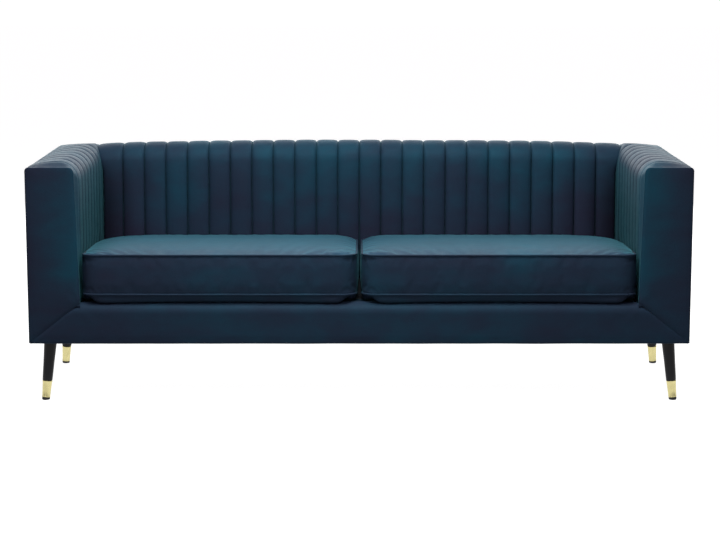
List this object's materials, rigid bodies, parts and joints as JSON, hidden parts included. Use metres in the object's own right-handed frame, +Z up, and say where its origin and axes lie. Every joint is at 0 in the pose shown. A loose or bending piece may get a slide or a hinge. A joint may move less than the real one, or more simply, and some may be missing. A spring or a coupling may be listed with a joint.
{
  "type": "sofa",
  "caption": "Velvet-covered sofa with level arms and back, upright channel tufting, loose boxed seat cushions and splayed black legs tipped with brass ferrules.",
  "frame": {"origin": "on the floor, under the centre of the whole sofa: the bottom centre of its bounding box", "axes": "+X along the width, to the right seen from the front; the front faces -Y; +Z up"},
  "size_m": [2.12, 0.81, 0.78],
  "materials": {
    "velvet": "cut-pile velvet with a soft sheen, dark petrol blue",
    "foam": "open-cell polyurethane foam wrapped in fibre wadding",
    "frame_wood": "planed kiln-dried softwood, unfinished",
    "board": "thin hardboard",
    "steel": "zinc-plated steel",
    "clip_steel": "dark phosphated steel",
    "webbing": "woven elastic webbing",
    "deck_cloth": "needled felt under a plain platform cloth",
    "dust_cloth": "thin spun-bonded lining",
    "leg_lacquer": "black satin lacquer over turned hardwood",
    "brass": "brushed brass with slim bright lips",
    "glide": "black nylon",
    "zip_tape": "dark nylon coil zip"
  },
  "bodies": {
    "frame": {"front_rail": "frame_wood", "seat_rear_rail": "frame_wood", "side_rail_left": "frame_wood", "side_rail_right": "frame_wood", "cross_rails": "frame_wood", "corner_blocks": "frame_wood", "arm_front_post_left": "frame_wood", "arm_front_post_right": "frame_wood", "arm_top_rail_left": "frame_wood", "arm_top_rail_right": "frame_wood", "back_post_left": "frame_wood", "back_post_right": "frame_wood", "back_uprights": "frame_wood", "back_top_rail": "frame_wood", "back_lower_rail": "frame_wood", "outside_arm_board_left": "board", "outside_arm_board_right": "board", "inside_arm_board_left": "board", "inside_arm_board_right": "board", "outside_back_board": "board", "seat_springs": "steel", "spring_clips": "clip_steel", "back_webbing": "webbing", "seat_deck": "deck_cloth", "back_foam": "foam", "arm_foam_left": "foam", "arm_foam_right": "foam", "front_rail_foam": "foam", "inside_back_cover": "velvet", "inside_arm_cover_left": "velvet", "inside_arm_cover_right": "velvet", "arm_front_panel_left": "velvet", "arm_front_panel_right": "velvet", "outside_arm_cover_left": "velvet", "outside_arm_cover_right": "velvet", "outside_back_cover": "velvet", "front_border": "velvet", "dust_cover": "dust_cloth", "leg_front_left": "leg_lacquer", "leg_front_right": "leg_lacquer", "leg_rear_left": "leg_lacquer", "leg_rear_right": "leg_lacquer", "ferrule_front_left": "brass", "ferrule_front_right": "brass", "ferrule_rear_left": "brass", "ferrule_rear_right": "brass", "glides": "glide", "leg_plates": "steel", "leg_bolts": "steel", "plate_screws": "steel"},
    "cushion_left": {"cushion_core_left": "foam", "cushion_cover_left": "velvet", "cushion_welts_left": "velvet", "zip_left": "zip_tape"},
    "cushion_right": {"cushion_core_right": "foam", "cushion_cover_right": "velvet", "cushion_welts_right": "velvet", "zip_right": "zip_tape"},
    "zip_pull_left": {"zip_slider_left": "steel"},
    "zip_pull_right": {"zip_slider_right": "steel"}
  },
  "joints": [
    {"name": "cushion_left_lift", "type": "slide", "parent": "frame", "child": "cushion_left", "axis": [0, 0, 1], "range_m": [0, 0.5]},
    {"name": "cushion_right_lift", "type": "slide", "parent": "frame", "child": "cushion_right", "axis": [0, 0, 1], "range_m": [0, 0.5]},
    {"name": "zip_left_slide", "type": "slide", "parent": "cushion_left", "child": "zip_pull_left", "axis": [-1, 0, 0], "range_m": [0, 0.69]},
    {"name": "zip_right_slide", "type": "slide", "parent": "cushion_right", "child": "zip_pull_right", "axis": [1, 0, 0], "range_m": [0, 0.69]}
  ]
}
